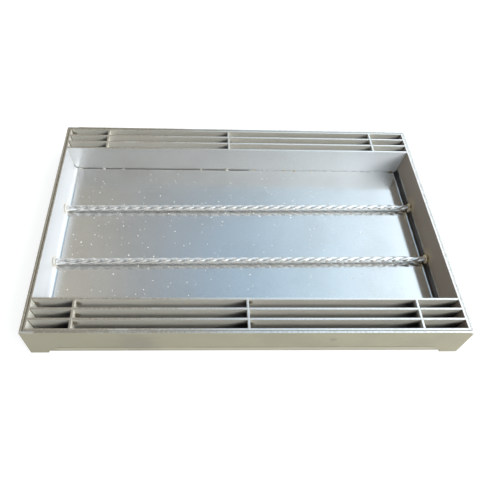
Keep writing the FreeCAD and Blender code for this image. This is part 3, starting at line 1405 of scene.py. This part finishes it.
@dataclass
class TwistedBars:
    """The two square bars, twisted cold, that key the infill to the tray."""

    nodes: tuple[str, ...] = ("twisted_bar_front", "twisted_bar_back")
    radius: float = 0.0045
    ridge: float = 0.00042
    ring_points: int = 40
    lead: float = 0.071
    step: float = 0.0012
    steel: Steel = Steel(
        name="twisted_bar_steel",
        base=(0.92, 0.92, 0.91, 1.0),
        smudge=Coat((0.88, 0.875, 0.85, 1.0), roughness=0.25),
        metallic=0.82,
        roughness=0.22,
        fleck_share=0.15,
        grain=(0.02, 0.0006, 0.0006),
    )

    def rule(self) -> NodeShape:
        """A square section with soft ridges and hollow flats, which turns as it runs along.

        Returns:
            The tree.
        """
        shape = NodeShape("twisted_square_bar")
        tree = shape.tree
        start = shape.take("Start", "NodeSocketVector")
        end = shape.take("End", "NodeSocketVector")
        steps = shape.take("Steps", "NodeSocketInt")
        ring_points = shape.take("Ring points", "NodeSocketInt")
        radius = shape.length("Radius")
        ridge = shape.length("Ridge")
        lead = shape.length("Lead")
        line = tree.signal("GeometryNodeCurvePrimitiveLine", inputs={"Start": start, "End": end})
        path = tree.signal("GeometryNodeResampleCurve", inputs={"Curve": line, "Count": steps})
        place = tree.signal("GeometryNodeInputPosition")
        x, _, _ = tree.parts(place)
        turned = tree.signal(
            "GeometryNodeSetCurveTilt", inputs={"Curve": path, "Tilt": x * -FULL_TURN / lead}
        )
        circle = tree.signal(
            "GeometryNodeCurvePrimitiveCircle", inputs={"Resolution": ring_points, "Radius": 1.0}
        )
        square = x * x
        fourfold = 8.0 * square * (square - 1.0) + 1.0
        swelled = tree.signal(
            "ShaderNodeVectorMath", {"operation": "SCALE"}, {0: place, "Scale": radius - ridge * fourfold}
        )
        outline = tree.signal("GeometryNodeSetPosition", inputs={"Geometry": circle, "Position": swelled})
        bar = tree.signal(
            "GeometryNodeCurveToMesh",
            inputs={"Curve": turned, "Profile Curve": outline, "Fill Caps": True},
        )
        shape.give(bar)
        return shape

    @staticmethod
    def ends(node: str) -> tuple[Vector, Vector]:
        """The ends of a bar's axis, which lies a little askew across its box.

        Args:
            node: The bar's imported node.

        Returns:
            Its left and right end.
        """
        low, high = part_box(node)
        radius = (high.z - low.z) / 2.0
        z = low.z + radius
        return Vector((low.x, low.y + radius, z)), Vector((high.x, high.y - radius, z))

    def build(self) -> None:
        """Twists one bar in the place of each packed one."""
        rule = self.rule()
        for node in self.nodes:
            start, end = self.ends(node)
            values = {
                "Start": tuple(start),
                "End": tuple(end),
                "Steps": round((end - start).length / self.step),
                "Ring points": self.ring_points,
                "Radius": self.radius,
                "Ridge": self.ridge,
                "Lead": self.lead,
                "Steel": self.steel.material(),
            }
            piece = rule.mesh(f"{node}_dressed", points_mesh(node, []), values)
            settle(piece, Slot.TWIST, node)


@dataclass
class Welds:
    """The welds at the bars' ends, along the floor and in the slots, and a pale filler in one gap as
    painted light over its shade.
    """

    tray: InfillTray
    bead: float = 0.0019
    bead_ring: float = 0.0056
    bead_sides: int = 14
    ring_steps: int = 120
    ripples: float = 13.0
    ripple_height: float = 0.13
    tack_size: Place = (0.0026, 0.0016, 0.0012)
    tack_seed: int = 4
    tack_swell: Step = (0.7, 1.25)
    cell_tack_size: Place = (0.0017, 0.0012, 0.0023)
    cell_tack_seed: int = 9
    corner_size: Place = (0.0055, 0.0013, 0.0013)
    corner_inset: Place = (0.002, 0.0005, -0.0005)
    corner_seed: int = 2
    seam: float = 0.0008
    seam_sides: int = 10
    seam_start: float = 0.02
    seam_lumps: float = 0.0003
    rail_gap: float = 0.001
    dust_depth: float = 0.0009
    lump_size: float = 0.0022
    lump_height: float = 0.0006
    metal: WeldMetal = WeldMetal(name="weld_metal_tinted")
    pale: WeldMetal = WeldMetal(
        name="weld_metal_pale",
        silver=(0.78, 0.80, 0.82, 1.0),
        straw=Coat((0.62, 0.64, 0.66, 1.0), roughness=0.36),
        brown=Coat((0.40, 0.41, 0.42, 1.0), roughness=0.50),
    )
    burnt: WeldMetal = WeldMetal(
        name="weld_metal_burnt",
        silver=(0.30, 0.27, 0.16, 1.0),
        straw=Coat((0.20, 0.17, 0.09, 1.0), roughness=0.36),
        brown=Coat((0.07, 0.055, 0.035, 1.0), roughness=0.50),
        roughness=0.45,
    )
    # A pale filler, painted light in the shaded gap at the right rail.
    dust: GrindingDust = GrindingDust(name="packed_dust", pale=(0.86, 0.86, 0.84, 1.0))

    def bead_rule(self) -> NodeShape:
        """A rippled bead laid in a ring on each point of the carrier, facing along X.

        Returns:
            The tree.
        """
        shape = NodeShape("end_bead")
        tree = shape.tree
        ring = shape.length("Ring")
        bead = shape.length("Bead")
        ripples = shape.length("Ripples")
        ripple_height = shape.length("Ripple height")
        circle = tree.signal(
            "GeometryNodeCurvePrimitiveCircle", inputs={"Resolution": self.ring_steps, "Radius": ring}
        )
        along = tree.signal("GeometryNodeSplineParameter")
        swell = 1.0 + ripple_height * (along * ripples * FULL_TURN).sine()
        section = tree.signal(
            "GeometryNodeCurvePrimitiveCircle", inputs={"Resolution": self.bead_sides, "Radius": bead}
        )
        tube = tree.signal(
            "GeometryNodeCurveToMesh", inputs={"Curve": circle, "Profile Curve": section, "Scale": swell}
        )
        facing = tree.signal(
            "GeometryNodeTransform", inputs={"Geometry": tube, "Rotation": (0.0, math.pi / 2.0, 0.0)}
        )
        laid = tree.signal(
            "GeometryNodeInstanceOnPoints", inputs={"Points": shape.carrier, "Instance": facing}
        )
        real = tree.signal("GeometryNodeRealizeInstances", inputs={"Geometry": laid})
        shape.give(shape.lumped(real))
        return shape

    def tack_rule(self) -> NodeShape:
        """A lumpy tack on each point of the carrier, no two alike.

        Returns:
            The tree.
        """
        shape = NodeShape("tack_weld")
        tree = shape.tree
        size = shape.take("Size", "NodeSocketVector")
        seed = shape.take("Seed", "NodeSocketInt")
        smallest, largest = self.tack_swell
        ball = tree.signal("GeometryNodeMeshIcoSphere", inputs={"Radius": 1.0, "Subdivisions": 4})
        drop = tree.signal("GeometryNodeTransform", inputs={"Geometry": ball, "Scale": size})
        swell = tree.signal(
            "FunctionNodeRandomValue", {"data_type": "FLOAT"}, {2: smallest, 3: largest, "Seed": seed}, 1
        )
        laid = tree.signal(
            "GeometryNodeInstanceOnPoints",
            inputs={"Points": shape.carrier, "Instance": drop, "Scale": swell},
        )
        real = tree.signal("GeometryNodeRealizeInstances", inputs={"Geometry": laid})
        shape.give(shape.lumped(real))
        return shape

    def seam_rule(self) -> NodeShape:
        """A thin uneven bead along a straight seam.

        Returns:
            The tree.
        """
        shape = NodeShape("seam_bead")
        tree = shape.tree
        start = shape.take("Start", "NodeSocketVector")
        end = shape.take("End", "NodeSocketVector")
        steps = shape.take("Steps", "NodeSocketInt")
        bead = shape.length("Bead")
        line = tree.signal("GeometryNodeCurvePrimitiveLine", inputs={"Start": start, "End": end})
        path = tree.signal("GeometryNodeResampleCurve", inputs={"Curve": line, "Count": steps})
        section = tree.signal(
            "GeometryNodeCurvePrimitiveCircle", inputs={"Resolution": self.seam_sides, "Radius": bead}
        )
        tube = tree.signal(
            "GeometryNodeCurveToMesh",
            inputs={"Curve": path, "Profile Curve": section, "Fill Caps": True},
        )
        shape.give(shape.lumped(tube))
        return shape

    @staticmethod
    def end_places() -> list[Vector]:
        """Where the twisted bars are welded to the end walls.

        Returns:
            The middle of each weld, at the height of the bar's axis.
        """
        places = []
        for low, high in islands("twisted_bar_welds"):
            middle = (low + high) / 2.0
            start, _ = TwistedBars.ends("twisted_bar_front")
            places.append(Vector((middle.x, middle.y, start.z)))
        return places

    def lay_end_beads(self) -> None:
        """Rings the ends of the twisted bars."""
        values = {
            "Ring": self.bead_ring,
            "Bead": self.bead,
            "Ripples": self.ripples,
            "Ripple height": self.ripple_height,
            "Lump size": self.lump_size,
            "Lump height": self.lump_height,
            "Steel": self.metal.material(),
        }
        carrier = points_mesh("bead_places", self.end_places())
        piece = self.bead_rule().mesh("twisted_bar_end_beads", carrier, values)
        settle(piece, Slot.WELD, "twisted_bar_welds")

    def lay_tacks(self, cell_tacks: Sequence[Vector]) -> None:
        """Drops the tacks along the floor's edges, in its back corners and in the cells of the grates.

        Args:
            cell_tacks: Where the tacks in the grates' cells lie.
        """
        rule = self.tack_rule()
        floor_tacks = [(low + high) / 2.0 for low, high in islands("floor_tack_welds")]
        values = {
            "Size": self.tack_size,
            "Lump size": self.lump_size,
            "Lump height": self.lump_height,
            "Seed": self.tack_seed,
            "Steel": self.metal.material(),
        }
        piece = rule.mesh("floor_edge_tacks", points_mesh("tack_places", floor_tacks), values)
        settle(piece, Slot.WELD, "floor_tack_welds")
        floor = Vector((self.tray.floor_x, self.tray.floor_y, self.tray.floor_z))
        corner = floor - Vector(self.corner_inset)
        left = [Vector((-corner.x, corner.y, corner.z))]
        values.update({"Size": self.corner_size, "Seed": self.corner_seed})
        settle(rule.mesh("back_left_corner_weld", points_mesh("left_corner", left), values), Slot.WELD)
        values["Steel"] = self.burnt.material()
        piece = rule.mesh("back_right_corner_weld", points_mesh("right_corner", [corner]), values)
        settle(piece, Slot.WELD)
        values.update({"Size": self.cell_tack_size, "Seed": self.cell_tack_seed})
        settle(rule.mesh("grate_cell_tacks", points_mesh("cell_places", cell_tacks), values), Slot.WELD)

    def lay_seam(self) -> None:
        """Closes the right part of the gap between the floor and the back bar with a thin bead."""
        y = self.tray.floor_y + self.tray.floor_gap / 2.0
        start = Vector((self.seam_start, y, self.tray.floor_z))
        end = Vector((self.tray.floor_x, y, self.tray.floor_z))
        self.lay_bead("back_seam_bead", start, end, self.pale)

    def pack_gap(self) -> None:
        """Fills the gap between the tray and the right rail of the frame with a pale bead, painted light
        over the gap's shade.
        """
        _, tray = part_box("tray_sheet")
        start = Vector((tray.x + self.rail_gap / 2.0, -tray.y, tray.z - self.dust_depth))
        end = Vector((start.x, tray.y, start.z))
        self.lay_bead("right_gap_dust", start, end, self.dust)

    def lay_bead(self, name: str, start: Vector, end: Vector, finish: Finish) -> None:
        """Lays a thin uneven bead along a straight line.

        Args:
            name: The piece's name.
            start: Where it begins.
            end: Where it ends.
            finish: Its finish.
        """
        values = {
            "Start": tuple(start),
            "End": tuple(end),
            "Steps": round((end - start).length / self.seam),
            "Bead": self.seam,
            "Lump size": self.lump_size,
            "Lump height": self.seam_lumps,
            "Steel": finish.material(),
        }
        settle(self.seam_rule().mesh(name, points_mesh(name, []), values), Slot.WELD)


@dataclass
class DustSpecks:
    """Grinding dust that lies on the tray's floor in drifts, thicker towards the left."""

    tray: InfillTray
    density: float = 6500.0
    thick_run: Step = (0.10, -0.14)
    thin_share: float = 0.10
    drift_size: float = 0.05
    drift_noise: Step = (0.35, 0.65)
    drift_least: float = 0.2
    smallest: float = 0.00062
    largest: float = 0.00130
    smallness: float = 2.5
    flatness: float = 0.45
    margin: float = 0.003
    seed: int = 11
    finish: GrindingDust = GrindingDust(name="grinding_dust")

    def rule(self) -> NodeShape:
        """Specks strewn over the carrier's faces.

        Returns:
            The tree.
        """
        shape = NodeShape("dust_specks")
        tree = shape.tree
        density = shape.length("Density")
        smallest = shape.length("Smallest")
        largest = shape.length("Largest")
        flatness = shape.length("Flatness")
        seed = shape.take("Seed", "NodeSocketInt")
        place = tree.signal("GeometryNodeInputPosition")
        x, _, _ = tree.parts(place)
        drift = tree.noise(place, (self.drift_size,) * 3).ramp(*self.drift_noise)
        thick = density * x.ramp(*self.thick_run).between(self.thin_share, 1.0)
        thick = thick * drift.between(self.drift_least, 1.0)
        strewn = tree.node(
            "GeometryNodeDistributePointsOnFaces",
            inputs={"Mesh": shape.carrier, "Density": thick, "Seed": seed},
        )
        speck = tree.signal("GeometryNodeMeshIcoSphere", inputs={"Radius": 1.0, "Subdivisions": 1})
        chance = tree.signal("FunctionNodeRandomValue", {"data_type": "FLOAT"}, {"Seed": seed}, 1)
        size = smallest + (largest - smallest) * chance ** self.smallness
        flat = tree.signal("ShaderNodeCombineXYZ", inputs={"X": size, "Y": size, "Z": size * flatness})
        laid = tree.signal(
            "GeometryNodeInstanceOnPoints",
            inputs={"Points": Signal(tree, strewn.outputs["Points"]), "Instance": speck, "Scale": flat},
        )
        shape.give(laid)
        return shape

    def build(self) -> None:
        """Strews the specks over the flat of the floor."""
        along = self.tray.floor_x - self.margin
        across = self.tray.floor_y - self.margin
        corners = [(-along, -across), (along, -across), (along, across), (-along, across)]
        floor = bpy.data.meshes.new("tray_floor_face")
        floor.from_pydata([(x, y, self.tray.floor_z) for x, y in corners], [], [(0, 1, 2, 3)])
        values = {
            "Density": self.density,
            "Smallest": self.smallest,
            "Largest": self.largest,
            "Flatness": self.flatness,
            "Seed": self.seed,
            "Steel": self.finish.material(),
        }
        settle(self.rule().mesh("tray_dust_specks", floor, values), Slot.WELD)


@dataclass
class Studio:
    """A wide pale floor that rises into a far cove, under soft light with a bright window at the right."""

    flat_radius: float = 20.0
    cove_radius: float = 14.0
    cove_turn: float = math.radians(85.0)
    cove_steps: int = 12
    sides: int = 96
    white: StudioWhite = StudioWhite(name="studio_white")
    low_light: ColourStops = (
        (0.00, (0.19, 0.18, 0.165, 1.0)),
        (0.26, (0.25, 0.235, 0.195, 1.0)),
        (0.335, (0.37, 0.345, 0.28, 1.0)),
        (0.38, (0.39, 0.37, 0.31, 1.0)),
        (0.44, (0.37, 0.37, 0.355, 1.0)),
        (0.54, (0.42, 0.47, 0.50, 1.0)),
        (0.64, (0.80, 0.97, 1.11, 1.0)),
        (0.70, (1.12, 1.28, 1.40, 1.0)),
        (0.80, (1.55, 1.60, 1.65, 1.0)),
    )
    high_light: ColourStops = (
        (0.00, (0.20, 0.19, 0.175, 1.0)),
        (0.26, (0.30, 0.28, 0.235, 1.0)),
        (0.335, (0.58, 0.53, 0.43, 1.0)),
        (0.38, (0.60, 0.57, 0.49, 1.0)),
        (0.44, (0.34, 0.36, 0.385, 1.0)),
        (0.54, (0.36, 0.535, 0.72, 1.0)),
        (0.64, (0.75, 1.00, 1.19, 1.0)),
        (0.70, (1.12, 1.32, 1.48, 1.0)),
        (0.80, (1.45, 1.50, 1.54, 1.0)),
    )
    front_light: ColourStops = (
        (0.00, (0.13, 0.13, 0.125, 1.0)),
        (0.20, (0.15, 0.15, 0.14, 1.0)),
        (0.33, (0.20, 0.195, 0.18, 1.0)),
        (0.42, (0.43, 0.43, 0.41, 1.0)),
        (0.545, (0.48, 0.50, 0.52, 1.0)),
        (0.66, (1.20, 1.42, 1.58, 1.0)),
        (0.80, (1.70, 1.80, 1.85, 1.0)),
    )
    high_from: Step = (0.70, 0.80)
    front_from: Step = (-0.42, -0.20)
    ceiling_from: Step = (0.80, 0.90)
    ceiling_share: float = 0.40
    window: Place = (0.83, -0.28, 0.48)
    window_core: float = math.radians(12.0)
    window_edge: float = math.radians(35.0)
    window_strength: float = 9.9
    window_mirrored: float = 0.10

    def build(self) -> None:
        """Lays the floor and lights it."""
        self.lay_floor()
        self.light()

    def profile(self) -> list[tuple[float, float]]:
        """The floor's section from the middle outwards, then up the cove, as radius and height.

        Returns:
            The section's points.
        """
        rings = [(1.0, 0.0), (self.flat_radius, 0.0)]
        for step in range(1, self.cove_steps + 1):
            turn = self.cove_turn * step / self.cove_steps
            out = self.flat_radius + self.cove_radius * math.sin(turn)
            rings.append((out, self.cove_radius * (1.0 - math.cos(turn))))
        return rings

    def lay_floor(self) -> None:
        """Turns the floor's section about the part's upright axis."""
        section = bmesh.new()
        rings = [section.verts.new((0.0, 0.0, 0.0))]
        rings += [section.verts.new((out, 0.0, height)) for out, height in self.profile()]
        edges = [section.edges.new(pair) for pair in zip(rings, rings[1:])]
        bmesh.ops.spin(
            section,
            geom=rings + edges,
            cent=(0.0, 0.0, 0.0),
            axis=(0.0, 0.0, 1.0),
            angle=FULL_TURN,
            steps=self.sides,
            use_merge=True,
        )
        bmesh.ops.remove_doubles(section, verts=section.verts[:], dist=1e-4)
        bmesh.ops.recalc_face_normals(section, faces=section.faces[:])
        made = bpy.data.meshes.new("studio_floor")
        section.to_mesh(made)
        section.free()
        made.shade_smooth()
        made.materials.append(self.white.material())
        placed("studio_floor", made)

    def light(self) -> None:
        """Makes the soft light, by the direction that it comes from."""
        world = bpy.data.worlds.new("studio_light")
        world.use_nodes = True
        world.node_tree.nodes.clear()
        tree = Tree(world.node_tree)
        towards = tree.signal("ShaderNodeTexCoord", output="Generated")
        x, y, z = tree.parts(towards)
        across = 0.5 + 0.5 * x
        low, high, front = (
            tree.signal("ShaderNodeValToRGB", {"stops": stops}, {"Fac": across})
            for stops in (self.low_light, self.high_light, self.front_light)
        )
        back = tree.blend(z.ramp(*self.high_from), low, high)
        ahead = (0.0 - y).ramp(*self.front_from)
        colour = tree.blend(ahead, back, front)
        strength = (ahead * z.ramp(*self.ceiling_from)).between(1.0, self.ceiling_share)
        sky = tree.signal("ShaderNodeBackground", inputs={"Color": colour, "Strength": strength})
        facing = Vector(self.window).normalized()
        match = x * facing.x + y * facing.y + z * facing.z
        glow = match.ramp(math.cos(self.window_edge), math.cos(self.window_core)) * self.window_strength
        mirrored = tree.signal("ShaderNodeLightPath", output="Is Glossy Ray")
        glow = glow * mirrored.between(1.0, self.window_mirrored)
        window = tree.signal("ShaderNodeBackground", inputs={"Strength": glow})
        both = tree.signal("ShaderNodeAddShader", inputs={0: sky, 1: window})
        tree.node("ShaderNodeOutputWorld", inputs={"Surface": both})
        bpy.context.scene.world = world


@dataclass
class Viewpoint:
    """The camera, where the photograph was taken from."""

    place: Place = (-0.0685, -0.4807, 0.629)
    focal_pixels: float = 481.6
    axis_pixel: tuple[float, float] = (218.5, 259.1)
    pitch: float = math.radians(54.94)
    yaw: float = math.radians(-4.02)
    roll: float = math.radians(-3.57)
    sensor: float = 36.0

    def axes(self) -> Matrix:
        """The camera's own axes: right, up and back.

        Returns:
            A turn from the camera's axes to the part's.
        """
        right = Vector((math.cos(self.yaw), math.sin(self.yaw), 0.0))
        level = Vector((-math.sin(self.yaw), math.cos(self.yaw), 0.0))
        forward = level * math.cos(self.pitch) - Vector((0.0, 0.0, math.sin(self.pitch)))
        down = forward.cross(right)
        rolled_right = right * math.cos(self.roll) + down * math.sin(self.roll)
        rolled_down = down * math.cos(self.roll) - right * math.sin(self.roll)
        return Matrix((rolled_right, -rolled_down, -forward)).transposed()

    def build(self) -> None:
        """Makes the camera and gives it to the scene."""
        lens = bpy.data.cameras.new("viewpoint")
        lens.sensor_width = self.sensor
        lens.lens = self.sensor * self.focal_pixels / IMAGE_SIDE
        lens.shift_x = 0.5 - self.axis_pixel[0] / IMAGE_SIDE
        lens.shift_y = self.axis_pixel[1] / IMAGE_SIDE - 0.5
        lens.clip_start = 0.01
        camera = bpy.data.objects.new("viewpoint", lens)
        camera.matrix_world = Matrix.Translation(self.place) @ self.axes().to_4x4()
        bpy.context.scene.collection.objects.link(camera)
        bpy.context.scene.camera = camera


def main() -> None:
    """Builds the dressed part, the studio and the camera, in that order."""
    logging.basicConfig(level=logging.INFO, format="%(message)s")
    bpy.context.scene.view_settings.view_transform = "Standard"
    tray = InfillTray()
    welds = Welds(tray)
    FoldedFrame().build()
    tray.build(welds.end_places())
    grates = [SlottedGrate(Side.FRONT, tray, FRONT_TACKS), SlottedGrate(Side.BACK, tray, BACK_TACKS)]
    for grate in grates:
        grate.build()
    TwistedBars().build()
    welds.lay_end_beads()
    welds.lay_tacks([place for grate in grates for place in grate.tacks])
    welds.lay_seam()
    welds.pack_gap()
    DustSpecks(tray).build()
    Studio().build()
    Viewpoint().build()


if __name__ == "__main__":
    main()
